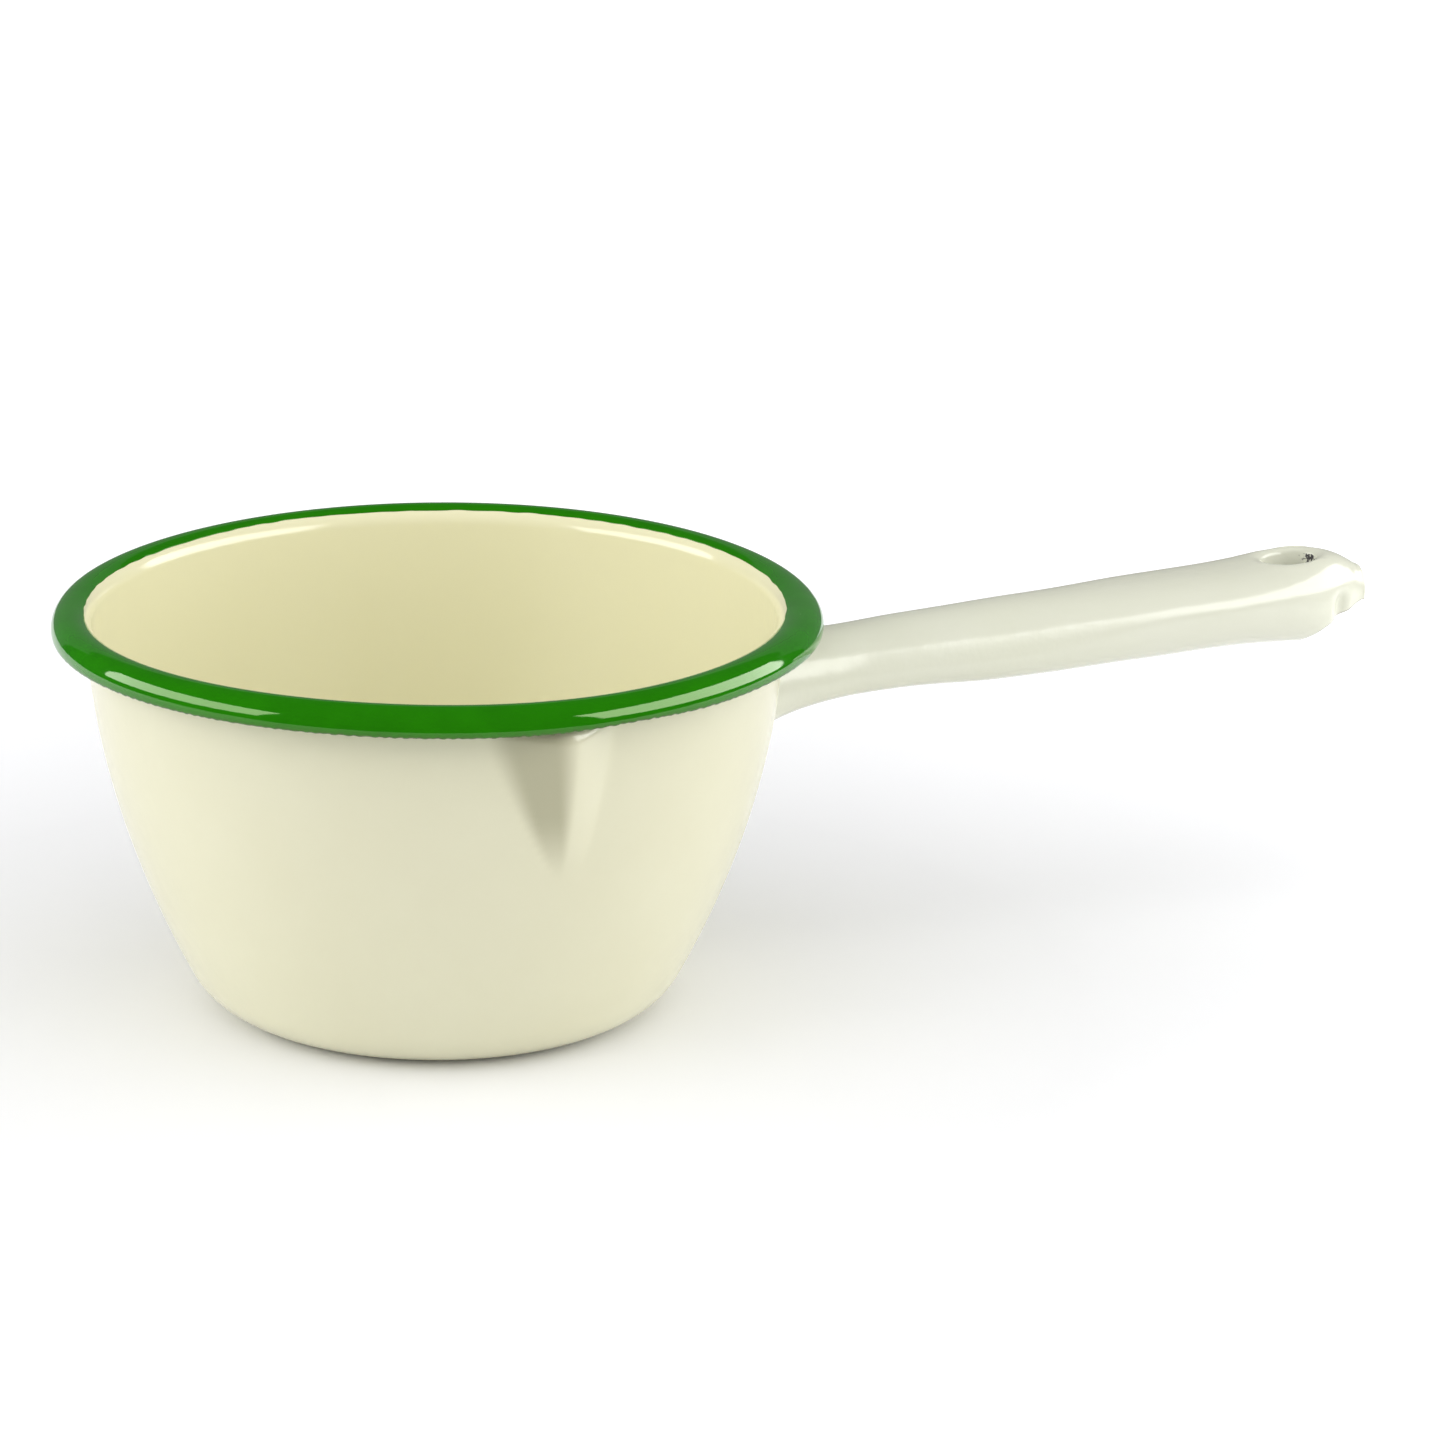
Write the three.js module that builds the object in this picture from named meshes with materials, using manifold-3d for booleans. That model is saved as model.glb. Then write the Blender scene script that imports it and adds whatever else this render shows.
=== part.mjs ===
// Enamelled sheet-steel pan with a pouring lip and a hollow handle, in millimetres, +Z up.
// Origin: centre of the base's resting face, on the bowl's axis. +X runs along the handle, and the
// lip points towards -Y. Four solids: the drawn bowl, its rolled rim, the folded handle and the weld
// that joins handle and bowl.
import * as THREE from "three";
import { mergeVertices } from "three/addons/utils/BufferGeometryUtils.js";
import Module from "manifold-3d";

const wasm = await Module();
wasm.setup();

// ---- driving dimensions ----
const SHEET = 1.2; // steel and both enamel coats together
const GAP = 0.3; // clearance kept between neighbouring solids
const BASE_RADIUS = 36.6; // flat resting face
const BASE_CORNER = 14.1; // outer bend between base and wall
const BASE_CORNER_ANGLE = 1.093; // how far the bend turns, in radians
const WALL_RADIUS = 68.4; // outer radius of the wall where the rim's curl starts
const WALL_HOLD_LOW = 16.5; // how far the bend's direction carries into the wall
const WALL_HOLD_HIGH = 31.8; // how far its top direction carries down
const WALL_LEAN = 1.45; // how far it leans out over that stretch
const CURL_RADIUS = 3.86; // outer radius of the rim's curl
const RIM_RADIUS = WALL_RADIUS - SHEET + 2 * CURL_RADIUS; // outermost radius of the rim
const CURL_HEIGHT = 77.75; // height of the curl's centre
const CURL_SPLIT = THREE.MathUtils.degToRad(136); // where the green rim takes over from the bowl
const CURL_END = THREE.MathUtils.degToRad(-12); // where the sheet's cut edge is

const LIP_DIRECTION = THREE.MathUtils.degToRad(-89.6); // azimuth of the pouring lip at its top
const LIP_LEAN = THREE.MathUtils.degToRad(1.75); // how far round its foot lies from there
const LIP_BOTTOM = 43; // height of the lip's point
const LIP_TOP = 75; // where it is widest, just under the rim
const LIP_LEFT = 13.5; // width of its left flank at that height
const LIP_RIGHT = 9.5; // width of its right flank there
const LIP_SPREAD_LEFT = 0.68; // below 1 a flank stays wide low down
const LIP_SPREAD_RIGHT = 0.41;
const LIP_DEPTH = 5.2; // how far its ridge stands out at the top
const LIP_ROUNDING = 0.1; // how blunt the ridge is, as a share of its depth
const LIP_PULL = 0.55; // how far the rim itself is drawn out, and down, at the lip
const LIP_PULL_SPREAD = 0.38; // in radians, one standard deviation
const RIM_OVAL = 1.1; // the rim is longer than round by this much each way along one line
const RIM_OVAL_DIRECTION = THREE.MathUtils.degToRad(20);
const RIM_SADDLE = 0.33; // the rim dips by this much at two opposite sides
const RIM_SADDLE_DIRECTION = THREE.MathUtils.degToRad(-24);
const RIM_FLAT = 0.17; // the curl is this much wider than high beside the handle
const RIM_FLAT_DIRECTION = THREE.MathUtils.degToRad(-20);
const RIM_FLAT_SPREAD = 0.5; // in radians
const RIM_FLAT_BOTTOM = 58; // height where the flattening starts
const ROUND_BELOW = 25; // below this height the wall is truly round

const AZIMUTH_STEPS = 76;
const BEND_STEPS = 5;
const WALL_STEPS = 10;
const CURL_STEPS = 9;
const SPLIT_STEPS = 3; // on the bowl's share of the curl
const LIP_CROWDING = 0.62; // share by which the steps crowd together at the lip

// The handle's outline, from the wall to the tip, at each distance x from the bowl's axis: height of
// its top and bottom lines, half its width, and how much narrower its section is high up than midway.
const HANDLE_STATIONS = [
  { x: 60, top: 69.4, bottom: 46.4, half: 12.6, taper: 0.1 },
  { x: 66, top: 68.2, bottom: 49.1, half: 11.2, taper: 0.13 },
  { x: 72, top: 67.6, bottom: 51.2, half: 9.8, taper: 0.15 },
  { x: 84, top: 67.6, bottom: 53.6, half: 8.6, taper: 0.19 },
  { x: 98, top: 68.6, bottom: 54.4, half: 8.8, taper: 0.19 },
  { x: 120, top: 69.7, bottom: 54.2, half: 10, taper: 0.13 },
  { x: 150, top: 71.1, bottom: 55.1, half: 11.3, taper: -0.04 },
  { x: 180, top: 73, bottom: 55.8, half: 11.8, taper: -0.09 },
  { x: 191, top: 74.4, bottom: 55.3, half: 10.9, taper: 0 },
  { x: 197, top: 73.7, bottom: 55.2, half: 8.9, taper: 0 },
  { x: 201, top: 72.4, bottom: 55.9, half: 6.7, taper: 0 },
  { x: 205.4, top: 69.7, bottom: 58.4, half: 4.5, taper: 0 },
];
const HANDLE_SQUARENESS = 2.4; // exponent of the section's superellipse, 2 being an ellipse
const HANDLE_STEPS = 26; // along its length
const HANDLE_SIDES = 24; // round its section
const SEAM_WIDTH = 1.6; // gap between the folded edges underneath
// Outline, in x and z, of what is cut away under the tip.
const TIP_CUT = [
  [182, 50],
  [190.7, 57.7],
  [193.9, 59.8],
  [200.7, 62.3],
  [204.4, 63.4],
  [212, 63.4],
  [212, 50],
];
const CUT_WIDTH = 60; // of the bar that makes that cut, wider than the handle
const MOUTH_START = 177; // where the seam widens into the open underside of the tip
const MOUTH_END = 196;
const MOUTH_RADIUS = 6.4;
const MOUTH_STEPS = 10;
const MID_HEIGHT = 63; // between the top and bottom of the handle's outer half
const HANGING_HOLE_X = 189.3;
const HANGING_HOLE_RADIUS = 5.2;
const HANGING_HOLE_STRETCH = 1.22; // longer along the handle than across it
const HANGING_HOLE_STEPS = 24;
const DRILL_LENGTH = 40; // from the handle's mid height upwards

const WELD_START = 60; // inside the bowl, where the wall's outline cuts it off
const WELD_REACH = 5.5; // how far the fillet runs out along the handle
const WELD_RISE = 2.2; // how far it stands off the handle at the wall
const WELD_THIN = 0.45; // its thickness at its outer end
const WELD_HOLD = 3; // it keeps its full rise up to this far inside the wall's top radius
const WELD_STEPS = 8; // along its outer side
const WELD_BORE_STEPS = 12; // along the side that faces the handle

// ---- finishes ----
const CREAM = { color: 0xe6e3c4, roughness: 0.22, metalness: 0 };
const GREEN = { color: 0x1f8a12, roughness: 0.14, metalness: 0 };
const HANDLE_CREAM = { color: 0xdfdfca, roughness: 0.22, metalness: 0 };

// ---- solids and meshes ----
function solid(geometry) {
  const bare = geometry.clone();
  bare.deleteAttribute("normal");
  bare.deleteAttribute("uv");
  const merged = mergeVertices(bare, 1e-4);
  return new wasm.Manifold(
    new wasm.Mesh({
      numProp: 3,
      vertProperties: new Float32Array(merged.attributes.position.array),
      triVerts: new Uint32Array(merged.index.array),
    }),
  );
}

function geometryOf(body) {
  const { vertProperties, triVerts } = body.getMesh();
  const geometry = new THREE.BufferGeometry();
  geometry.setAttribute("position", new THREE.BufferAttribute(vertProperties, 3));
  geometry.setIndex(new THREE.BufferAttribute(triVerts, 1));
  geometry.computeVertexNormals();
  return geometry;
}

function part(name, geometry, finish) {
  const mesh = new THREE.Mesh(geometry, new THREE.MeshStandardMaterial(finish));
  mesh.name = name;
  return mesh;
}

// Moves every vertex of a geometry by a function that changes it in place.
function reshape(geometry, move) {
  const position = geometry.attributes.position;
  const point = new THREE.Vector3();
  for (let i = 0; i < position.count; i++) {
    point.fromBufferAttribute(position, i);
    move(point);
    position.setXYZ(i, point.x, point.y, point.z);
  }
  return geometry;
}

// ---- bowl and rim ----
const smooth = (low, high, value) => THREE.MathUtils.smoothstep(value, low, high);

// How far the pressed lip stands out of the wall, at an angle from its ridge and a height.
function lipPress(angle, height) {
  const rise = THREE.MathUtils.clamp((height - LIP_BOTTOM) / (LIP_TOP - LIP_BOTTOM), 0, 1);
  const sideways = angle - LIP_LEAN * (1 - rise);
  const widest = sideways < 0 ? LIP_LEFT : LIP_RIGHT;
  const spread = sideways < 0 ? LIP_SPREAD_LEFT : LIP_SPREAD_RIGHT;
  const across = (Math.abs(sideways) * WALL_RADIUS) / Math.max(widest * rise ** spread, 1);
  const facet = Math.hypot(1 - Math.min(across, 1), LIP_ROUNDING) - LIP_ROUNDING;
  return LIP_DEPTH * rise * facet * (1 - smooth(LIP_TOP, CURL_HEIGHT, height));
}

// The angle from one azimuth to another, the short way round.
const turnFrom = (from, to) => Math.atan2(Math.sin(to - from), Math.cos(to - from));

// How much wider than high the curl is at that azimuth and height.
function rimFlat(azimuth, height) {
  const away = turnFrom(RIM_FLAT_DIRECTION, azimuth) / RIM_FLAT_SPREAD;
  return RIM_FLAT * Math.exp(-(away ** 2)) * smooth(RIM_FLAT_BOTTOM, CURL_HEIGHT, height);
}

// Turns a round lathed shape into the pan's own: its steps crowd at the lip, the bowl's wall is
// pressed out there, and the rim is a little oval, a little wavy and flatter beside the handle.
function shapeSheet(point, isBowl) {
  const radius = Math.hypot(point.x, point.y);
  const even = turnFrom(LIP_DIRECTION, Math.atan2(point.y, point.x));
  const angle = even - LIP_CROWDING * Math.sin(even);
  const azimuth = angle + LIP_DIRECTION;
  const atRim = smooth(ROUND_BELOW, CURL_HEIGHT, point.z);
  const pull = LIP_PULL * Math.exp(-0.5 * (angle / LIP_PULL_SPREAD) ** 2);
  const oval = RIM_OVAL * Math.cos(2 * (azimuth - RIM_OVAL_DIRECTION));
  const saddle = RIM_SADDLE * Math.cos(2 * (azimuth - RIM_SADDLE_DIRECTION));
  const pressed = isBowl && radius > BASE_RADIUS ? lipPress(angle, point.z) : 0;
  const widened = rimFlat(azimuth, point.z) * (radius - RIM_RADIUS + CURL_RADIUS);
  const shaped = radius + pressed + atRim * (pull + oval) + widened;
  point.x = shaped * Math.cos(azimuth);
  point.y = shaped * Math.sin(azimuth);
  point.z -= atRim * (pull + saddle);
}

const bowlShape = (point) => shapeSheet(point, true);
const rimShape = (point) => shapeSheet(point, false);

// A ring or shell turned about +Z from a profile of [radius, height] points.
function turned(profile) {
  const geometry = new THREE.LatheGeometry(profile, AZIMUTH_STEPS);
  return geometry.rotateX(Math.PI / 2);
}

// The wall's outer side from the base to the curl, moved inwards by a thickness.
function wallLine(inset) {
  const corner = BASE_CORNER - inset;
  const turn = BASE_CORNER_ANGLE - Math.PI / 2;
  const bend = new THREE.EllipseCurve(BASE_RADIUS, BASE_CORNER, corner, corner, -Math.PI / 2, turn);
  const bendEnd = bend.getPoint(1);
  const wall = new THREE.CubicBezierCurve(
    bendEnd,
    bend.getTangent(1).multiplyScalar(WALL_HOLD_LOW).add(bendEnd),
    new THREE.Vector2(WALL_RADIUS - inset - WALL_LEAN, CURL_HEIGHT - WALL_HOLD_HIGH),
    new THREE.Vector2(WALL_RADIUS - inset, CURL_HEIGHT),
  );
  return [...bend.getPoints(BEND_STEPS), ...wall.getPoints(WALL_STEPS).slice(1)];
}

// An arc of the rim's curl. Its convex side has the full radius, its hollow side one sheet less.
function curlLine(radius, from, to, steps) {
  const centre = RIM_RADIUS - CURL_RADIUS;
  const arc = new THREE.EllipseCurve(centre, CURL_HEIGHT, radius, radius, from, to, from > to);
  return arc.getPoints(steps);
}

function bowlGeometry() {
  const split = CURL_SPLIT + GAP / CURL_RADIUS;
  const hollowSide = curlLine(CURL_RADIUS - SHEET, Math.PI, split, SPLIT_STEPS).slice(1);
  const convexSide = curlLine(CURL_RADIUS, split, Math.PI, SPLIT_STEPS).slice(0, -1);
  const profile = [
    new THREE.Vector2(0, 0),
    ...wallLine(0),
    ...hollowSide,
    ...convexSide,
    ...wallLine(SHEET).reverse(),
    new THREE.Vector2(0, SHEET),
  ];
  return reshape(turned(profile), bowlShape);
}

function rimGeometry() {
  const profile = [
    ...curlLine(CURL_RADIUS, CURL_END, CURL_SPLIT, CURL_STEPS),
    ...curlLine(CURL_RADIUS - SHEET, CURL_SPLIT, CURL_END, CURL_STEPS),
  ];
  profile.push(profile[0].clone());
  return reshape(turned(profile), rimShape);
}

// ---- handle ----
const handleAt = new THREE.CubicInterpolant(
  HANDLE_STATIONS.map((station) => station.x),
  HANDLE_STATIONS.flatMap(({ top, bottom, half, taper }) => [top, bottom, half, taper]),
  4,
);

// The handle's outer skin moved outwards by growth(x), from x = start to x = end.
function handleBlank(start, end, growth, steps) {
  const geometry = new THREE.CylinderGeometry(1, 1, 1, HANDLE_SIDES, steps);
  return reshape(geometry, (point) => {
    const x = THREE.MathUtils.lerp(start, end, point.y + 0.5);
    const [top, bottom, half, taper] = handleAt.evaluate(x);
    const grow = growth(x);
    const ring = Math.hypot(point.x, point.z) > 0.5 ? 1 : 0;
    const turn = Math.atan2(point.z, point.x);
    const power = 2 / HANDLE_SQUARENESS;
    const side = ring * Math.sign(Math.sin(turn)) * Math.abs(Math.sin(turn)) ** power;
    const up = ring * Math.sign(Math.cos(turn)) * Math.abs(Math.cos(turn)) ** power;
    const y = side * (half + grow) * (1 - taper * up);
    point.set(x, y, (top + bottom) / 2 + up * ((top - bottom) / 2 + grow));
  });
}

// The space that the bowl's outer side takes up, with a clearance round it.
function bowlEnvelope(clearance) {
  const profile = [
    new THREE.Vector2(0, -clearance),
    ...wallLine(-clearance),
    new THREE.Vector2(WALL_RADIUS + clearance, CURL_HEIGHT + RIM_RADIUS),
    new THREE.Vector2(0, CURL_HEIGHT + RIM_RADIUS),
  ];
  return solid(reshape(turned(profile), bowlShape));
}

// An outline of [x, z] points made into a bar that runs across the handle.
function crossBar(outline, width) {
  const shape = new THREE.Shape(outline.map(([x, z]) => new THREE.Vector2(x, z)));
  const bar = new THREE.ExtrudeGeometry(shape, { depth: width, bevelEnabled: false });
  return solid(bar.translate(0, 0, -width / 2).rotateX(Math.PI / 2));
}

// A slot with a round start, open from below up to the handle's mid height.
function mouthBar() {
  const shape = new THREE.Shape();
  shape.absarc(MOUTH_START + MOUTH_RADIUS, 0, MOUTH_RADIUS, Math.PI / 2, 1.5 * Math.PI, false);
  shape.lineTo(MOUTH_END, -MOUTH_RADIUS);
  shape.lineTo(MOUTH_END, MOUTH_RADIUS);
  const settings = { depth: MID_HEIGHT, bevelEnabled: false, curveSegments: MOUTH_STEPS };
  return solid(new THREE.ExtrudeGeometry(shape, settings));
}

function hangingHole() {
  const radius = HANGING_HOLE_RADIUS;
  const hole = new THREE.CylinderGeometry(radius, radius, DRILL_LENGTH, HANGING_HOLE_STEPS);
  hole.rotateX(Math.PI / 2).scale(HANGING_HOLE_STRETCH, 1, 1);
  return solid(hole.translate(HANGING_HOLE_X, 0, MID_HEIGHT + DRILL_LENGTH / 2));
}

function handleBody() {
  const first = HANDLE_STATIONS[0].x;
  const last = HANDLE_STATIONS[HANDLE_STATIONS.length - 1].x;
  const skin = solid(handleBlank(first, last, () => 0, HANDLE_STEPS));
  const hollow = solid(handleBlank(first - SHEET, last - 2 * SHEET, () => -SHEET, HANDLE_STEPS));
  const seam = new THREE.BoxGeometry(MOUTH_END - first, SEAM_WIDTH, MID_HEIGHT);
  seam.translate((first + MOUTH_END) / 2 - SHEET, 0, MID_HEIGHT / 2);
  return skin
    .subtract(hollow)
    .subtract(solid(seam))
    .subtract(mouthBar())
    .subtract(hangingHole())
    .subtract(crossBar(TIP_CUT, CUT_WIDTH))
    .subtract(bowlEnvelope(GAP));
}

// A concave fillet round the handle's root: thick at the wall, thin where it runs out.
function weldBody() {
  const end = WALL_RADIUS + WELD_REACH;
  const rise = (x) => {
    const left = THREE.MathUtils.clamp((end - x) / (WELD_REACH + WELD_HOLD), 0, 1);
    return GAP + WELD_THIN + WELD_RISE * left ** 2;
  };
  const bore = handleBlank(WELD_START - SHEET, end + SHEET, () => GAP, WELD_BORE_STEPS);
  return solid(handleBlank(WELD_START, end, rise, WELD_STEPS))
    .subtract(solid(bore))
    .subtract(bowlEnvelope(GAP));
}

const pan = new THREE.Group();
pan.add(part("bowl", bowlGeometry(), CREAM));
pan.add(part("rolled_rim", rimGeometry(), GREEN));
pan.add(part("handle", geometryOf(handleBody()), HANDLE_CREAM));
pan.add(part("handle_weld", geometryOf(weldBody()), CREAM));

export default pan;
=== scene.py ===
# The looks of a small enamelled pan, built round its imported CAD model.
# Cream enamelled sheet steel with a green rim, a pressed pouring lip and a folded, welded handle.
# Lengths are in millimetres until a mesh is made. The floor, the lights and the camera are in metres.
import math

import bpy
import numpy as np
from mathutils import Matrix, Vector


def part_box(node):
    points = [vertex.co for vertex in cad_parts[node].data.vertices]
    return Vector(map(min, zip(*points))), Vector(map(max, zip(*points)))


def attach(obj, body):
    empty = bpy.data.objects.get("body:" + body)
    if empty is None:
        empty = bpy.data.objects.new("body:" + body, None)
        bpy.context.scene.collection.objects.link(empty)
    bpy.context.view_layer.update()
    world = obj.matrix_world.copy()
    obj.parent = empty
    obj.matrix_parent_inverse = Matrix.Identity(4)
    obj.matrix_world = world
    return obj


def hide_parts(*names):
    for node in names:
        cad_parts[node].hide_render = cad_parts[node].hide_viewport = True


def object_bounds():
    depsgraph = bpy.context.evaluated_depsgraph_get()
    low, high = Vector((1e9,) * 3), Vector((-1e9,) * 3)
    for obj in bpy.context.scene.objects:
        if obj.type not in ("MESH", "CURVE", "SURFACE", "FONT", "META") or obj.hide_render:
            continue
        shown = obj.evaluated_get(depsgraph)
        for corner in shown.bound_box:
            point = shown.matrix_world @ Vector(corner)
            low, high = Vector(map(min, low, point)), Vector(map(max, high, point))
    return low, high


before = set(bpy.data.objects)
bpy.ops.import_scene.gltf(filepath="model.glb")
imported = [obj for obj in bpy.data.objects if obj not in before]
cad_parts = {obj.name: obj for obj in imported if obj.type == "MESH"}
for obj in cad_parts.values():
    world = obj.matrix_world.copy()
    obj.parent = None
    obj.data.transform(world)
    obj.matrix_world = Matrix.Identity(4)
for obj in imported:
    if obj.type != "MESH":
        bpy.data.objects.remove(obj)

CAD_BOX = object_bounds()
MM = 0.001
QUARTER = math.pi / 2
FULL = 2 * math.pi

# ---- the pan's sheet ----
SHEET = 1.2
COAT = 0.08  # how far the green coat stands proud of the cream
BASE_RADIUS = 36.6
BASE_CORNER = 14.1  # outer bend between base and wall
BASE_CORNER_TURN = 62.6  # degrees
BASE_DISH = 0.25  # the base is this much hollow in the middle
DISH_EDGE = 0.96  # share of the base's radius where the hollow ends
WALL_RADIUS = 68.4
WALL_HOLD_LOW = 16.5  # how far the bend's direction carries into the wall
WALL_HOLD_HIGH = 31.8  # how far its top direction carries down
WALL_LEAN = 1.45  # how far it leans out over that stretch
CURL_RADIUS = 3.86
CURL_CENTRE = WALL_RADIUS - SHEET + CURL_RADIUS
RIM_WAVE = 0.3  # the rim's highest point stands this far above its curl's plain height
CURL_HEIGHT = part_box("rolled_rim")[1].z / MM - CURL_RADIUS - RIM_WAVE
CURL_END = -13.0  # degrees round the curl, where the sheet's cut edge is
GREEN_START = 131.0  # degrees round the curl
CREAM_END = 112.0  # the cream sheet runs on under the green as far as this
ROUND_BELOW = 25.0  # below this height the wall is truly round

BASE_STEPS = 11
BEND_STEPS = 16
WALL_STEPS = 46
HOLLOW_CURL_STEPS = 12
CONVEX_CURL_STEPS = 14
BOWL_COLUMNS = 320
LIP_CROWDING = 0.62  # share by which the columns crowd together at the lip

# ---- the pouring lip ----
LIP_DIRECTION = math.radians(-89.6)
LIP_LEAN = math.radians(1.75)  # the foot of the lip lies this much to the right of its top
LIP_BOTTOM = 43.0
LIP_TOP = 75.0
LIP_LEFT = 13.5  # width of a flank at the top
LIP_RIGHT = 10.2
LIP_SPREAD_LEFT = 0.7  # below 1 a flank stays wide low down
LIP_SPREAD_RIGHT = 0.42
LIP_NARROWEST = 0.02  # share of the rise below which its width no longer shrinks
LIP_DEPTH = 6.9
LIP_RIDGE = 0.2  # how blunt the ridge is
LIP_FOOT = 0.12  # how softly the flanks run out into the wall
LIP_START = 0.2  # share of its height over which it grows out of the wall
LIP_FADE = (LIP_TOP - 0.5, CURL_HEIGHT + 1.5)  # it dies away under the rim between these heights
LIP_PULL = 0.55  # how far the rim itself is drawn out, and down, at the lip
LIP_PULL_SPREAD = 0.38
# Where shade is painted on the left flank of the lip: across it from 0 at the ridge to -1, and up it.
PAINTED_SHADE_AT_RIDGE = (0.12, -0.28)
PAINTED_SHADE_AT_EDGE = (-1.25, -0.75)
PAINTED_SHADE_AT_FOOT = (0.0, 0.5)

# ---- the rim ----
RIM_FLAT = 0.17  # the curl is this much wider than high beside the handle
RIM_FLAT_DIRECTION = math.radians(-20)
RIM_FLAT_SPREAD = 0.5
RIM_FLAT_BOTTOM = 58.0  # height where the flattening starts
RIM_OVAL = 1.1
RIM_OVAL_DIRECTION = math.radians(20)
RIM_SADDLE = 0.33
RIM_SADDLE_DIRECTION = math.radians(-24)
RIM_COLUMNS = 1260
# Uneven edges: height in degrees, fewest and most waves in a turn, and seed.
GREEN_EDGE = (2.3, 2, 9, 1)
GREEN_EDGE_FINE = (0.7, 24, 90, 2)
CUT_EDGE = (1.2, 2, 7, 3)
CUT_TEETH = (1.0, 110, 300, 5)
TEETH_LIMIT = 1.5
SHORT_CURL = 9.0  # degrees by which the curl ends sooner beside the lip
SHORT_CURL_OFFSET = 0.17
SHORT_CURL_SPREAD = 0.16
COAT_EDGE = 3.5  # degrees over which the green coat thins out
COAT_EDGE_SINK = 2.6  # how far its edge sinks, in coats
DARK_BAND = 9.0  # degrees next to the cut edge where the green darkens
DARK_BAND_CUT = 0.35
HOLLOW_CUT = 0.4  # how dark the cut edge still is where it turns into the hollow side
COAT_EDGE_STEPS = 5
CONVEX_STEPS = 24
CUT_STEPS = 8
HOLLOW_STEPS = 12

# ---- the handle ----
# Distance from the bowl's axis, heights of the top and bottom lines, half width.
HANDLE_STATIONS = np.array(
    [
        (60, 69.4, 46.4, 12.6),
        (66, 68.2, 49.1, 11.2),
        (72, 67.6, 51.2, 9.8),
        (84, 67.6, 53.6, 8.6),
        (98, 68.6, 54.4, 8.8),
        (120, 69.7, 54.2, 10.0),
        (150, 71.1, 55.1, 11.3),
        (180, 72.9, 55.8, 11.8),
        (186, 73.8, 55.6, 11.6),
        (191, 74.4, 55.3, 10.9),
        (194.5, 74.3, 55.2, 9.9),
        (198, 73.5, 55.3, 8.5),
        (201, 72.4, 55.9, 6.7),
        (203, 71.3, 57.0, 5.4),
        (204.8, 70.1, 58.2, 4.6),
        (207, 68.4, 59.5, 4.0),
    ]
)
# Distance from the bowl's axis, and how much narrower the section is high up than midway.
HANDLE_TAPER = np.array(
    [(60, 0.1), (92, 0.2), (130, 0.1), (165, -0.11), (182, -0.09), (192, 0), (210, 0)]
)
HANDLE_SQUARENESS = 2.4  # exponent of the section's superellipse, 2 being an ellipse
HANDLE_START = 60.0
HANDLE_END = 204.8
HANDLE_FINE_FROM = 176.0  # the rows lie closer from here to the tip
HANDLE_COARSE_ROWS = 89
HANDLE_FINE_ROWS = 74
HANDLE_COLUMNS = 121
HANDLE_TRIM = 84.0  # nearer the bowl than this the rows lean to follow the wall
ROOT_NEAREST = 61.0  # the handle's skin meets the wall beyond this
ROOT_SAMPLES = 400
ROOT_OVERLAP = 0.35
# Unevenness of the skin: height, length along the handle, times round it, phase.
SKIN_WAVES = [(0.03, 6.1, 2, 0), (0.02, 3.7, -3, 1)]
SKIN_WAVES_FROM = (76, 90)
DENT_X = 197.6  # a dent pressed into each side of the tip
DENT_DEPTH = 1.7
DENT_LENGTH = 1.8
DENT_HEIGHTS = (68, 64)  # it fades in between these
DENT_SECTION = 9.0  # half the section's height there
SEAM_HALF = 0.45
MOUTH_START = 177.0  # where the seam widens into the open underside of the tip
MOUTH_FLARE = 9.0  # over this length
MOUTH_HALF = 6.4
MOUTH_LIMIT = 0.8  # of the handle's half width
# The underside of the tip is cut away up to these heights.
TIP_CUT_X = (150.0, 182.0, 190.7, 193.9, 197.1, 200.7, 203.1, 204.4, 209.0)
TIP_CUT_Z = (40.0, 50.0, 57.7, 59.8, 61.1, 62.3, 63.1, 63.4, 63.4)
TIP_STEPS = 11
TIP_ROUNDING = 0.10  # share of its size that the end face loses to its rounded edge
TIP_ROUNDED_BY = 0.5  # the edge is rounded over this share of the steps
TIP_CLOSE_FROM = 0.45  # the end face closes over the rest
TIP_CLOSE_POWER = 1.2
TIP_BULGE = 0.55  # how far the end face stands out
CUT_MARK = (188, 192)  # the sheet's cut edge shows dark from here to the tip

HOLE_X = 189.3
HOLE_LONG = 6.3
HOLE_WIDE = 4.9
HOLE_MARGIN = 3.2  # the skin is remade this far round the hole, along the handle
HOLE_MARGIN_WIDE = 3.0  # and across it
HOLE_WIDTH_ROW = 8  # the row of that area where its width is measured
HOLE_FUNNEL = 3.4  # the top sheet starts to dip this far from the hole
HOLE_DIP = 1.1
HOLE_DIP_POWER = 2.6
HOLE_EASE = 1.4  # above 1 the loops crowd together at the hole
HOLE_LOOPS = 12
HOLE_COLLAR = 3.0
COLLAR_LOOPS = 5
COLLAR_INWARD = 0.35
TAPER_ROUNDS = 6  # enough to settle how far up a point of the tapering section lies
HOLE_DARK_FROM = 2.0  # the dark spot in the hole starts this far from the hole's middle, towards the tip
HOLE_DARK_LOW = (HOLE_DIP - 0.1, HOLE_DIP + 0.8)  # and this far below the skin

MERGE_BELOW = 0.02
EDGE_ROUNDING = 0.34
EDGE_SEGMENTS = 3
EDGE_ANGLE = math.radians(55)

# ---- the weld ----
WELD_REACH = 2.6
WELD_UNEVEN = (0.10, 2, 8, 8)
WELD_COLUMNS = 180
WELD_STEPS = 10
WELD_SINK = 0.3  # how far its edges run into the handle and the wall


# ---- curves ----
def smooth(low, high, value):
    share = np.clip((value - low) / (high - low), 0, 1)
    return share * share * (3 - 2 * share)


def shares(steps):
    """Even shares of 1, without the first, 0."""
    return np.linspace(0, 1, steps + 1)[1:]


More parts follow.
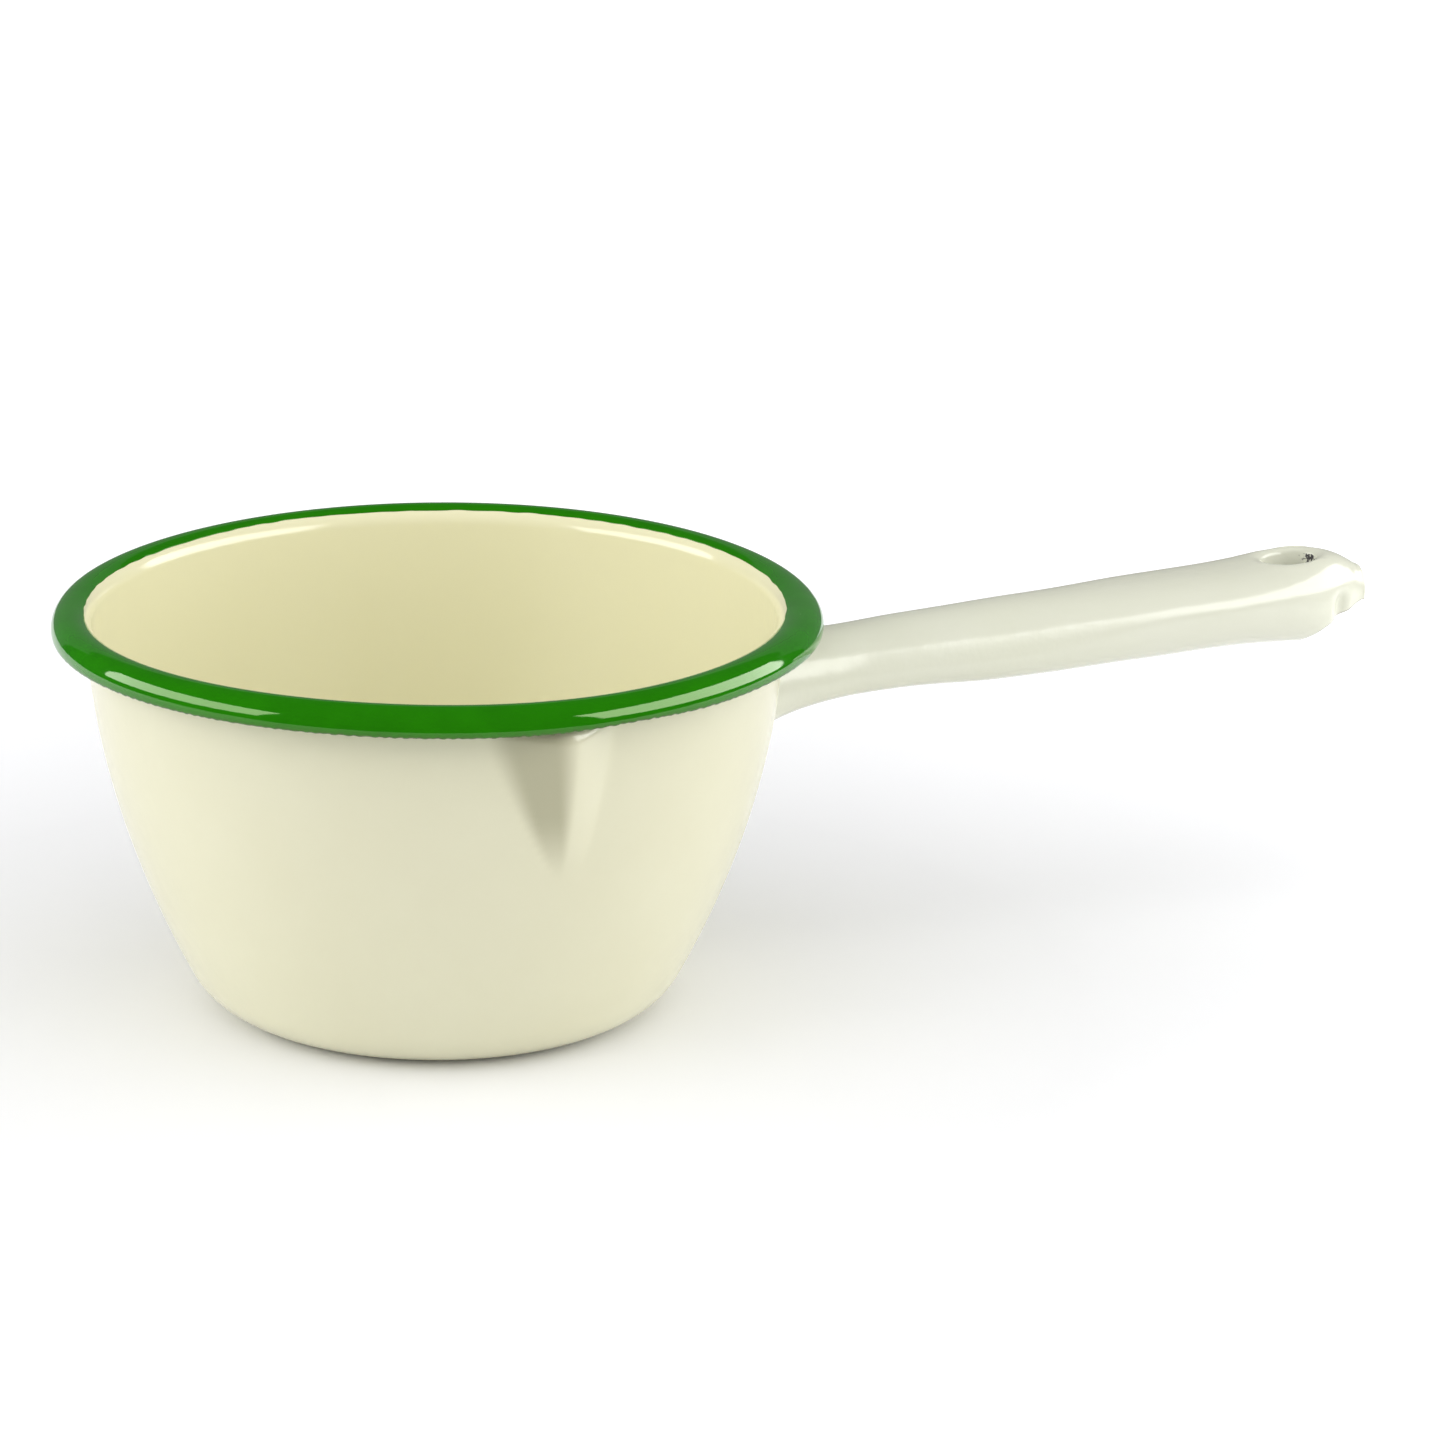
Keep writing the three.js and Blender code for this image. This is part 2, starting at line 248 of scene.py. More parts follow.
def azimuths(columns):
    return np.linspace(-math.pi, math.pi, columns + 1)[:-1]


def turn_from(start, azimuth):
    """The angle from one azimuth to another, the short way round."""
    return np.angle(np.exp(1j * (azimuth - start)))


def ripple(azimuth, size, fewest, most, seed):
    """A random closed curve round the pan, about size high, with that many waves in a turn."""
    dice = np.random.default_rng(seed)
    total = np.zeros_like(azimuth)
    for waves in range(fewest, most + 1):
        total += dice.normal() * np.cos(waves * azimuth + dice.uniform(0, FULL))
    return size * total / math.sqrt((most - fewest + 1) / 2)


def spline(knots, values, at):
    """A smooth curve through the values at the knots."""
    slopes = np.gradient(values, knots)
    i = np.clip(np.searchsorted(knots, at) - 1, 0, len(knots) - 2)
    step = knots[i + 1] - knots[i]
    t = (at - knots[i]) / step
    rise = (2 * t**3 - 3 * t**2 + 1) * values[i] + (3 * t**2 - 2 * t**3) * values[i + 1]
    return rise + step * ((t**3 - 2 * t**2 + t) * slopes[i] + (t**3 - t**2) * slopes[i + 1])


def arc(centre, radius, start, end, steps):
    """Points on an arc between two turns in degrees."""
    turn = np.radians(np.linspace(start, end, steps + 1))
    return np.stack([centre[0] + radius * np.cos(turn), centre[1] + radius * np.sin(turn)], -1)


def bezier(points, steps):
    t = np.linspace(0, 1, steps + 1)[:, None]
    a, b, c, d = [np.array(point, float) for point in points]
    return a * (1 - t) ** 3 + 3 * b * t * (1 - t) ** 2 + 3 * c * t**2 * (1 - t) + d * t**3


# ---- the shape of the sheet ----
def across_lip(azimuth, height):
    """How far up the lip a point lies, and how far across its flank: 0 ridge, 1 edge."""
    rise = ((height - LIP_BOTTOM) / (LIP_TOP - LIP_BOTTOM)).clip(0, 1) + 0 * azimuth
    angle = turn_from(LIP_DIRECTION + LIP_LEAN * (1 - rise), azimuth)
    spread = np.where(angle < 0, LIP_SPREAD_LEFT, LIP_SPREAD_RIGHT)
    width = np.where(angle < 0, LIP_LEFT, LIP_RIGHT) * rise.clip(LIP_NARROWEST, 1) ** spread
    return rise, angle * WALL_RADIUS / width


def lip_press(azimuth, height):
    """How far the pressed lip stands out of the wall."""
    rise, across = across_lip(azimuth, height)
    fold = 1 - np.hypot(across, LIP_RIDGE)
    grown = LIP_DEPTH * rise * smooth(0, LIP_START, rise)
    return grown * (fold + np.hypot(fold, LIP_FOOT)) / 2 * (1 - smooth(*LIP_FADE, height))


def painted_shade_on_lip(azimuth, height):
    """1 on the left flank of the lip, where painted shade darkens the cream."""
    rise, across = across_lip(azimuth, height)
    between = smooth(*PAINTED_SHADE_AT_RIDGE, across) * smooth(*PAINTED_SHADE_AT_EDGE, across)
    return between * smooth(*PAINTED_SHADE_AT_FOOT, rise)


def pan_shape(radius, azimuth, height, pressed=True):
    """Points of a round pan moved to this pan's own shape: its lip, its oval and wavy rim."""
    at_rim = smooth(ROUND_BELOW, CURL_HEIGHT, height)
    pull = LIP_PULL * np.exp(-0.5 * (turn_from(LIP_DIRECTION, azimuth) / LIP_PULL_SPREAD) ** 2)
    oval = RIM_OVAL * np.cos(2 * (azimuth - RIM_OVAL_DIRECTION))
    saddle = RIM_SADDLE * np.cos(2 * (azimuth - RIM_SADDLE_DIRECTION))
    lip = lip_press(azimuth, height) * (radius > BASE_RADIUS) if pressed else 0
    beside = np.exp(-((turn_from(RIM_FLAT_DIRECTION, azimuth) / RIM_FLAT_SPREAD) ** 2))
    flat = RIM_FLAT * beside * smooth(RIM_FLAT_BOTTOM, CURL_HEIGHT, height)
    shaped = radius + lip + at_rim * (pull + oval) + flat * (radius - CURL_CENTRE)
    return np.stack(
        [shaped * np.cos(azimuth), shaped * np.sin(azimuth), height - at_rim * (pull + saddle)], -1
    )


def wall_line(inset):
    """The wall's outer side from the base to the curl, moved inwards by a thickness."""
    end = BASE_CORNER_TURN - 90
    bend = arc((BASE_RADIUS, BASE_CORNER), BASE_CORNER - inset, -90, end, BEND_STEPS)
    along = np.radians(BASE_CORNER_TURN)
    low = bend[-1] + WALL_HOLD_LOW * np.array([math.cos(along), math.sin(along)])
    top = (WALL_RADIUS - inset, CURL_HEIGHT)
    high = (WALL_RADIUS - inset - WALL_LEAN, CURL_HEIGHT - WALL_HOLD_HIGH)
    return np.concatenate([bend, bezier([bend[-1], low, high, top], WALL_STEPS)[1:]])


def base_line(height):
    """The base from its middle to its bend, with its slight hollow."""
    radius = np.linspace(0, BASE_RADIUS, BASE_STEPS + 1)[:-1]
    dish = BASE_DISH * (1 - smooth(0, DISH_EDGE * BASE_RADIUS, radius))
    return np.stack([radius, height + dish], -1)


def sheet_profile():
    """The bowl's section as radius and height: outer side, end under the green, inner side."""
    centre = (CURL_CENTRE, CURL_HEIGHT)
    return np.concatenate(
        [
            base_line(0),
            wall_line(0),
            arc(centre, CURL_RADIUS - SHEET, 180, CREAM_END, HOLLOW_CURL_STEPS)[1:],
            arc(centre, CURL_RADIUS, CREAM_END, 180, CONVEX_CURL_STEPS),
            wall_line(SHEET)[::-1][1:],
            base_line(SHEET)[::-1],
        ]
    )


# ---- meshes ----
def add_piece(name, points, faces, marks=None):
    """A smooth mesh piece from points in millimetres, with named values at its points."""
    mesh = bpy.data.meshes.new(name)
    mesh.from_pydata((np.asarray(points) * MM).tolist(), [], faces)
    for mark, values in (marks or {}).items():
        layer = mesh.attributes.new(mark, "FLOAT", "POINT")
        layer.data.foreach_set("value", np.asarray(values, np.float32).ravel())
    mesh.shade_smooth()
    mesh.validate()
    piece = bpy.data.objects.new(name, mesh)
    bpy.context.scene.collection.objects.link(piece)
    return piece


def grid_faces(rows, columns, wrap_rows, wrap_columns):
    faces = []
    for i in range(rows if wrap_rows else rows - 1):
        for j in range(columns if wrap_columns else columns - 1):
            k, m = (i + 1) % rows, (j + 1) % columns
            faces.append((i * columns + j, i * columns + m, k * columns + m, k * columns + j))
    return faces


def flipped(faces):
    return [face[::-1] for face in faces]


def build_bowl():
    profile = sheet_profile()[1:-1]  # without the two points on the axis
    even = azimuths(BOWL_COLUMNS)
    azimuth = even - LIP_CROWDING * np.sin(even) + LIP_DIRECTION
    radius, height = profile[:, 0, None], profile[:, 1, None]
    points = pan_shape(radius, azimuth[None, :], height + 0 * azimuth[None, :]).reshape(-1, 3)
    faces = grid_faces(len(profile), BOWL_COLUMNS, False, True)
    under, over = len(points), len(points) + 1
    points = np.concatenate([points, [[0, 0, BASE_DISH], [0, 0, SHEET + BASE_DISH]]])
    last = (len(profile) - 1) * BOWL_COLUMNS
    for j in range(BOWL_COLUMNS):
        m = (j + 1) % BOWL_COLUMNS
        faces.append((under, m, j))
        faces.append((over, last + j, last + m))
    inner_from = int(np.argmax(profile[:, 1]))
    inside = np.repeat(np.arange(len(profile)) >= inner_from, BOWL_COLUMNS).astype(float)
    # painted shade on the lip's left flank, on the outside only
    flank = painted_shade_on_lip(azimuth[None, :], height).ravel() * (1 - inside)
    marks = {"inside": np.concatenate([inside, [0, 1]]), "flank": np.concatenate([flank, [0, 0]])}
    return add_piece("bowl_sheet", points, faces, marks)


def rim_edges(azimuth):
    """Where the green starts and where the sheet ends, in degrees round the curl."""
    teeth = ripple(azimuth, *CUT_TEETH).clip(-TEETH_LIMIT, TEETH_LIMIT)
    start = GREEN_START + ripple(azimuth, *GREEN_EDGE) + ripple(azimuth, *GREEN_EDGE_FINE)
    end = CURL_END + ripple(azimuth, *CUT_EDGE) + teeth
    beside_lip = (turn_from(LIP_DIRECTION, azimuth) - SHORT_CURL_OFFSET) / SHORT_CURL_SPREAD
    return start, end + SHORT_CURL * np.exp(-(beside_lip**2))


def build_rim():
    azimuth = azimuths(RIM_COLUMNS)
    start, end = rim_edges(azimuth)
    middle = CURL_RADIUS - SHEET / 2
    half = SHEET / 2 + COAT
    rows, thin, cut = [], [], []

    def ring(turn, radius, thinness, cutness):
        turn = np.radians(turn)
        across = CURL_CENTRE + radius * np.cos(turn)
        rows.append(pan_shape(across, azimuth, CURL_HEIGHT + radius * np.sin(turn), False))
        thin.append(thinness + 0 * azimuth)
        cut.append(cutness + 0 * azimuth)

    for share in np.linspace(0, 1, COAT_EDGE_STEPS + 1):
        lift = COAT_EDGE_SINK * COAT * (math.sin(share * QUARTER) - 1)
        ring(start - COAT_EDGE * share, CURL_RADIUS + COAT + lift, 1 - share, 0)
    for share in shares(CONVEX_STEPS):
        turn = (start - COAT_EDGE) * (1 - share) + end * share
        ring(turn, CURL_RADIUS + COAT, 0, DARK_BAND_CUT * smooth(DARK_BAND, 0, turn - end))
    for share in shares(CUT_STEPS):
        past = math.degrees(half * math.sin(math.pi * share) / middle)
        cutness = 1 - (1 - HOLLOW_CUT) * share
        ring(end - past, middle + half * math.cos(math.pi * share), 0, cutness)
    for share in shares(HOLLOW_STEPS):
        turn = end * (1 - share) + start * share
        ring(turn, middle - half, 0, HOLLOW_CUT * (1 - share))
    marks = {"thin": np.concatenate(thin), "cut": np.concatenate(cut)}
    faces = flipped(grid_faces(len(rows), RIM_COLUMNS, True, True))
    return add_piece("rim_coat", np.concatenate(rows), faces, marks)


# ---- the shape of the handle ----
OUTER_WALL = wall_line(0)


def wall_radius(azimuth, height):
    radius = np.interp(height, OUTER_WALL[:, 1], OUTER_WALL[:, 0])
    shaped = pan_shape(radius, azimuth, height)
    return np.hypot(shaped[..., 0], shaped[..., 1])


def handle_lines(x):
    """The height of the handle's middle, half its height and half its width."""
    top, bottom, half = [spline(HANDLE_STATIONS[:, 0], HANDLE_STATIONS[:, k], x) for k in (1, 2, 3)]
    return (top + bottom) / 2, (top - bottom) / 2, half


def taper(x, up):
    """The section's width against its plain width, up being 1 at its top line and -1 below."""
    return 1 - spline(HANDLE_TAPER[:, 0], HANDLE_TAPER[:, 1], x) * up


def on_handle(x, turn):
    """A point of the handle's skin: x along it, turn round its section from the top."""
    middle, tall, half = handle_lines(x)
    power = 2 / HANDLE_SQUARENESS
    side = np.sign(np.sin(turn)) * np.abs(np.sin(turn)) ** power
    up = np.sign(np.cos(turn)) * np.abs(np.cos(turn)) ** power
    wave = 0 * turn
    for size, length, times, phase in SKIN_WAVES:
        wave = wave + size * np.sin(x / length + times * turn + phase)
    wave = wave * smooth(*SKIN_WAVES_FROM, x)
    low = smooth(*DENT_HEIGHTS, middle + up * DENT_SECTION)
    dent = DENT_DEPTH * np.exp(-(((x - DENT_X) / DENT_LENGTH) ** 2)) * low
    y = side * (half + wave - dent) * taper(x, up)
    return np.stack([x + 0 * turn, y, middle + up * (tall + wave)], -1)


def open_turn(x):
    """How far round its section the sheet reaches before the seam, the mouth or the tip's cut."""
    middle, tall, half = handle_lines(x)
    flare = np.sqrt(smooth(MOUTH_START, MOUTH_START + MOUTH_FLARE, x))
    gap = SEAM_HALF + (MOUTH_HALF - SEAM_HALF) * flare
    power = HANDLE_SQUARENESS / 2
    seam = math.pi - np.arcsin(np.clip(gap / half, 0, MOUTH_LIMIT) ** power)
    drop = (middle - np.interp(x, TIP_CUT_X, TIP_CUT_Z)) / tall
    lean = np.sign(drop) * np.abs(drop).clip(0, 1) ** power
    return np.minimum(seam, QUARTER + np.arcsin(np.clip(lean, -1, 1)))


def root_x(turn):
    """Where the skin at that turn meets the bowl's wall."""
    x = np.linspace(ROOT_NEAREST, HANDLE_TRIM, ROOT_SAMPLES)
    starts = []
    for angle in turn:
        skin = on_handle(x, np.full_like(x, angle))
        azimuth = np.arctan2(skin[:, 1], skin[:, 0])
        outside = np.hypot(skin[:, 0], skin[:, 1]) - wall_radius(azimuth, skin[:, 2])
        starts.append(np.interp(0, outside, x))
    return np.array(starts)


def top_sheet(x, y):
    """Points on the upper half of the handle's skin at x and y."""
    middle, tall, half = handle_lines(x)
    up = 1 + 0 * x
    for _ in range(TAPER_ROUNDS):
        fall = np.abs(y / (half * taper(x, up))).clip(0, 1) ** HANDLE_SQUARENESS
        up = (1 - fall) ** (1 / HANDLE_SQUARENESS)
    return np.stack([x, y, middle + tall * up], -1)


def dip_at_hole(points):
    """The top sheet drawn down round the hanging hole."""
    across = np.hypot((points[:, 0] - HOLE_X) / HOLE_LONG, points[:, 1] / HOLE_WIDE)
    away = (across - 1) * (HOLE_LONG + HOLE_WIDE) / 2
    share = np.clip(1 - away / HOLE_FUNNEL, 0, 1)
    dipped = points.copy()
    dipped[:, 2] -= HOLE_DIP * share**HOLE_DIP_POWER
    return dipped


def tube_rows(stations):
    """Rows of points along the handle, the first ones leaning to follow the wall."""
    rows = []
    for x in stations:
        turn = np.linspace(-1, 1, HANDLE_COLUMNS) * open_turn(np.array([x]))[0]
        along = np.full(HANDLE_COLUMNS, x)
        if x < HANDLE_TRIM:
            back = (HANDLE_TRIM - x) / (HANDLE_TRIM - HANDLE_START)
            along = HANDLE_TRIM - (HANDLE_TRIM - root_x(turn) + ROOT_OVERLAP) * back
        rows.append(on_handle(along, turn))
    return rows


def tip_rows(ring):
    """Rows that round the tip's edge and close its end face."""
    foot = np.array([HANDLE_END, 0, ring[0, 2]])
    rows = []
    for share in shares(TIP_STEPS):
        rounded = TIP_ROUNDING * (1 - math.cos(share * QUARTER))
        closing = max(0, (share - TIP_CLOSE_FROM) / (1 - TIP_CLOSE_FROM)) ** TIP_CLOSE_POWER
        row = foot + (ring - foot) * max(1 - rounded - (1 - TIP_ROUNDING) * closing, 0)
        row[:, 0] = HANDLE_END + TIP_BULGE * math.sin(min(1, share / TIP_ROUNDED_BY) * QUARTER)
        rows.append(row)
    return rows


def hole_area(grid, stations):
    """The first and last rows and columns of the skin that is remade round the hole."""
    first = int(np.searchsorted(stations, HOLE_X - HOLE_LONG - HOLE_MARGIN))
    last = int(np.searchsorted(stations, HOLE_X + HOLE_LONG + HOLE_MARGIN))
    middle = HANDLE_COLUMNS // 2
    beyond = grid[first + HOLE_WIDTH_ROW, middle:, 1] > HOLE_WIDE + HOLE_MARGIN_WIDE
    spread = int(np.argmax(beyond))
    return first, last, middle - spread, middle + spread


def around(first, last, left, right):
    """The numbers of the grid's points along the edge of an area."""
    columns = HANDLE_COLUMNS
    edge = [first * columns + j for j in range(left, right)]
    edge += [i * columns + right for i in range(first, last)]
    edge += [last * columns + j for j in range(right, left, -1)]
    edge += [i * columns + left for i in range(last, first, -1)]
    return edge


def hole_loops(border):
    """Loops of points from the border of the remade skin in to the hole and down its collar."""
    direction = np.arctan2(border[:, 1] / HOLE_WIDE, (border[:, 0] - HOLE_X) / HOLE_LONG)
    rim_x = HOLE_X + HOLE_LONG * np.cos(direction)
    rim_y = HOLE_WIDE * np.sin(direction)
    loops = []
    for share in shares(HOLE_LOOPS):
        ease = 1 - (1 - share) ** HOLE_EASE
        x = border[:, 0] * (1 - ease) + rim_x * ease
        y = border[:, 1] * (1 - ease) + rim_y * ease
        loops.append(dip_at_hole(top_sheet(x, y)))
    lowest = loops[-1]
    for share in shares(COLLAR_LOOPS):
        collar = lowest.copy()
        inward = COLLAR_INWARD * math.sin(share * QUARTER)
        collar[:, 0] = HOLE_X + (HOLE_LONG - inward) * np.cos(direction)
        collar[:, 1] = (HOLE_WIDE - inward) * np.sin(direction)
        collar[:, 2] -= HOLE_COLLAR * share
        loops.append(collar)
    return loops


def loop_faces(border, count, loops):
    """Faces between a border and the loops inside it, whose points are numbered from count."""
    faces = []
    size = len(border)
    previous = border
    for start in range(count, count + loops * size, size):
        current = list(range(start, start + size))
        for k in range(size):
            m = (k + 1) % size
            faces.append((previous[k], previous[m], current[m], current[k]))
        previous = current
    return faces


def handle_marks(grid, collars):
    """Where the sheet's cut edge shows, and where the hole's collar is darkened on its tip side."""
    edge = np.zeros(grid.shape[:2])
    edge[:, [0, -1]] = smooth(*CUT_MARK, grid[:, [0, -1], 0])
    tipward = smooth(HOLE_X + HOLE_DARK_FROM, HOLE_X + HOLE_LONG, collars[:, 0])
    low = top_sheet(collars[:, 0], collars[:, 1])[:, 2] - collars[:, 2]
    dark_in_hole = tipward * smooth(*HOLE_DARK_LOW, low)
    return {
        "edge": np.concatenate([edge.ravel(), 0 * dark_in_hole]),
        "dark_in_hole": np.concatenate([0 * edge.ravel(), dark_in_hole]),
    }


def build_handle():
    coarse = np.linspace(HANDLE_START, HANDLE_FINE_FROM, HANDLE_COARSE_ROWS + 1)[:-1]
    fine = np.linspace(HANDLE_FINE_FROM, HANDLE_END, HANDLE_FINE_ROWS)
    stations = np.concatenate([coarse, fine])
    rows = tube_rows(stations)
    rows += tip_rows(rows[-1])
    grid = np.stack(rows)
    points = grid.reshape(-1, 3)
    first, last, left, right = hole_area(grid, stations)

    def kept(face):
        row, column = divmod(face[0], HANDLE_COLUMNS)
        return not (first <= row < last and left <= column < right)

    faces = [face for face in grid_faces(len(rows), HANDLE_COLUMNS, False, False) if kept(face)]
    border = around(first, last, left, right)
    loops = hole_loops(points[border])
    faces += loop_faces(border, len(points), len(loops))
    collars = np.concatenate(loops)
    marks = handle_marks(grid, collars)
    piece = add_piece("handle_tube", np.concatenate([points, collars]), flipped(faces), marks)
    merge_close_points(piece)
    thicken(piece)
    return piece


def merge_close_points(piece):
    weld = piece.modifiers.new("close", "WELD")
    weld.merge_threshold = MERGE_BELOW * MM


def thicken(piece):
    sheet = piece.modifiers.new("sheet", "SOLIDIFY")
    sheet.thickness = SHEET * MM
    sheet.offset = -1
    sheet.use_rim = True
    edges = piece.modifiers.new("edges", "BEVEL")
    edges.width = EDGE_ROUNDING * MM
    edges.segments = EDGE_SEGMENTS
    edges.limit_method = "ANGLE"
    edges.angle_limit = EDGE_ANGLE


def build_weld():
    """A concave fillet round the handle's root."""
    turn = azimuths(WELD_COLUMNS)
    contact_x = root_x(turn)
    contact = on_handle(contact_x, turn)
    reach = WELD_REACH * (1 + ripple(turn, *WELD_UNEVEN))
    on_tube = on_handle(contact_x + reach, turn)
    middle = handle_lines(contact_x)[0]
    out = np.stack([0 * turn, contact[:, 1], contact[:, 2] - middle], -1)
    out /= np.linalg.norm(out, axis=1)[:, None]
    off = contact + out * reach[:, None]
    radius = wall_radius(np.arctan2(off[:, 1], off[:, 0]), off[:, 2])
    wall_x = np.sqrt(np.maximum(radius**2 - off[:, 1] ** 2, 0))
    on_wall = np.stack([wall_x, off[:, 1], off[:, 2]], -1)
    into_wall = np.array([WELD_SINK, 0, 0])
    rows = [on_tube - out * WELD_SINK]
    for t in np.linspace(0, 1, WELD_STEPS + 1):
        rows.append(on_tube * (1 - t) ** 2 + 2 * contact * t * (1 - t) + on_wall * t**2)
    rows.append(on_wall - into_wall)
    rows.append(contact - out * WELD_SINK - into_wall)
    faces = grid_faces(len(rows), WELD_COLUMNS, True, True)
    return add_piece("weld_fillet", np.concatenate(rows), faces)


# ---- materials ----
class Material:
    """One Principled shader and the texture nodes that feed it."""

    def __init__(self, name, ior=1.5):
        self.material = bpy.data.materials.new(name)
        self.material.use_nodes = True
        self.tree = self.material.node_tree
        self.shader = self.tree.nodes["Principled BSDF"]
        self.shader.inputs["IOR"].default_value = ior
        self.place = self.node("ShaderNodeTexCoord").outputs["Object"]

    def node(self, kind, **settings):
        node = self.tree.nodes.new(kind)
        for key, value in settings.items():
            setattr(node, key, value)
        return node

    def link(self, value, socket):
        if isinstance(value, bpy.types.NodeSocket):
            self.tree.links.new(value, socket)
        else:
            socket.default_value = value

    def noise(self, size, detail=2.0, roughness=0.5):
        """Soft noise whose lumps are about size millimetres across."""
        node = self.node("ShaderNodeTexNoise")
        self.link(self.place, node.inputs["Vector"])
        node.inputs["Scale"].default_value = 1 / (size * MM)
        node.inputs["Detail"].default_value = detail
        node.inputs["Roughness"].default_value = roughness
        return node.outputs["Fac"]

    def attribute(self, name):
        return self.node("ShaderNodeAttribute", attribute_name=name).outputs["Fac"]

    def math(self, operation, a, b=0.0):
        node = self.node("ShaderNodeMath", operation=operation)
        self.link(a, node.inputs[0])
        self.link(b, node.inputs[1])
        return node.outputs[0]

    def remap(self, value, low, high, to_low=0.0, to_high=1.0):
        node = self.node("ShaderNodeMapRange", clamp=True)
        for socket, number in zip(node.inputs, (value, low, high, to_low, to_high)):
            self.link(number, socket)
        return node.outputs[0]

    def mix(self, share, first, second):
        node = self.node("ShaderNodeMix", data_type="RGBA")
        self.link(share, node.inputs["Factor"])
        self.link(first, node.inputs["A"])
        self.link(second, node.inputs["B"])
        return node.outputs["Result"]

    def stain(self, base, mask, strength, colour):
        """The base colour with another laid over it where the mask is 1."""
        return self.mix(self.math("MULTIPLY", mask, strength), base, colour)

    def ragged(self, mark, size, low, high, least, most):
        """A named mark broken up by noise of that size."""
        noise = self.remap(self.noise(size, detail=3.0), low, high, least, most)
        return self.math("MULTIPLY", self.attribute(mark), noise)

    def specks(self, spacing, share, radius):
        """1 inside small dots, one to a cell of that spacing, in that share of the cells."""
        node = self.node("ShaderNodeTexVoronoi")
        self.link(self.place, node.inputs["Vector"])
        node.inputs["Scale"].default_value = 1 / (spacing * MM)
        pick = self.node("ShaderNodeSeparateColor")
        self.link(node.outputs["Color"], pick.inputs[0])
        chosen = self.math("LESS_THAN", pick.outputs[0], share)
        widest = radius / spacing
        size = self.remap(pick.outputs[1], 0, 1, 0.5 * widest, widest)
        inside = self.remap(self.math("SUBTRACT", size, node.outputs["Distance"]), 0, 0.25 * widest)
        return self.math("MULTIPLY", inside, chosen)

    def clouded(self, colour, deeper, cloud_size):
        """Two shades of a colour in soft clouds and a fine grain."""
        cloud = self.remap(self.noise(cloud_size, detail=3.0, roughness=0.6), 0.3, 0.7)
        base = self.stain(colour, cloud, 0.5, deeper)
        return self.mix(self.remap(self.noise(0.5), 0.35, 0.7, 0.0, 0.10), base, deeper)

    def uneven_gloss(self, glossiest, dullest):
        return self.remap(self.noise(7.0, detail=3.0), 0.3, 0.7, glossiest, dullest)

    def bump(self, height, depth):
        """Relief from a height of 0 to 1, depth millimetres deep."""
        node = self.node("ShaderNodeBump")
        self.link(height, node.inputs["Height"])
        node.inputs["Distance"].default_value = depth * MM
        self.link(node.outputs["Normal"], self.shader.inputs["Normal"])

    def finish(self, colour, roughness):
        self.link(colour, self.shader.inputs["Base Color"])
        self.link(roughness, self.shader.inputs["Roughness"])
        return self.material


def rgb(red, green, blue):
    return (red, green, blue, 1.0)


def cream_enamel():
    """Cream outside, yellower inside, with painted shade on the lip's left flank, and a few specks
    and pinholes.
    """
    m = Material("cream_enamel", ior=1.47)
    base = m.clouded(rgb(0.715, 0.697, 0.512), rgb(0.69, 0.668, 0.477), cloud_size=26.0)
    base = m.stain(base, m.attribute("inside"), 0.85, rgb(0.83, 0.80, 0.54))
    specks = m.specks(spacing=21.0, share=0.16, radius=0.34)
    pinholes = m.specks(spacing=6.5, share=0.10, radius=0.13)
    base = m.stain(base, specks, 0.8, rgb(0.16, 0.11, 0.06))
    base = m.stain(base, pinholes, 0.5, rgb(0.35, 0.30, 0.18))
    # painted shade: the lip's left flank is darkened to a grey cream
    base = m.mix(m.attribute("flank"), base, rgb(0.44, 0.425, 0.285))
    outside = m.uneven_gloss(0.17, 0.24)
    gloss = m.math("SUBTRACT", outside, m.math("MULTIPLY", m.attribute("inside"), 0.07))
    peel = m.math("ADD", m.noise(3.2), m.math("MULTIPLY", m.noise(0.9, detail=1.0), 0.12))
    m.bump(m.math("SUBTRACT", peel, m.math("MULTIPLY", specks, 0.5)), depth=0.035)
    return m.finish(base, gloss)


def handle_enamel():
    """Paler and greyer cream, dark at the sheet's cut edge and near-black deep in the hole, on its
    tip side.
    """
    m = Material("handle_enamel", ior=1.42)
    base = m.clouded(rgb(0.70, 0.705, 0.59), rgb(0.675, 0.685, 0.55), cloud_size=14.0)
    specks = m.specks(spacing=15.0, share=0.14, radius=0.3)
    base = m.stain(base, specks, 0.7, rgb(0.2, 0.15, 0.1))
    base = m.stain(base, m.attribute("edge"), 0.75, rgb(0.12, 0.09, 0.06))
    dark_in_hole = m.ragged("dark_in_hole", 0.8, 0.3, 0.7, least=0.3, most=1.3)
    # near-black deep in the hole's collar, on its tip side
    base = m.mix(m.remap(dark_in_hole, 0.6, 0.75), base, rgb(0.05, 0.045, 0.05))
    peel = m.math("ADD", m.noise(2.6), m.math("MULTIPLY", m.noise(0.8, detail=1.0), 0.15))
    m.bump(peel, depth=0.06)
    return m.finish(base, m.uneven_gloss(0.1445, 0.204))


def green_enamel():
    """Deep glossy green, thin at its start and dark at the sheet's cut edge."""
    m = Material("green_enamel", ior=1.55)
    m.shader.inputs["Specular Tint"].default_value = rgb(0.85, 1.0, 0.6)
    base = m.clouded(rgb(0.015, 0.196, 0.0010), rgb(0.010, 0.145, 0.0008), cloud_size=9.0)
    thin = m.ragged("thin", 1.4, 0.3, 0.65, least=0.5, most=1.0)
    base = m.mix(thin, base, rgb(0.10, 0.17, 0.02))
    cut = m.ragged("cut", 0.7, 0.35, 0.6, least=0.45, most=1.0)
    base = m.mix(cut, base, rgb(0.035, 0.085, 0.010))
    specks = m.specks(spacing=9.0, share=0.12, radius=0.2)
    base = m.stain(base, specks, 0.6, rgb(0.25, 0.5, 0.2))
    m.bump(m.noise(4.0, detail=1.5), depth=0.03)
    return m.finish(base, m.uneven_gloss(0.04675, 0.066))


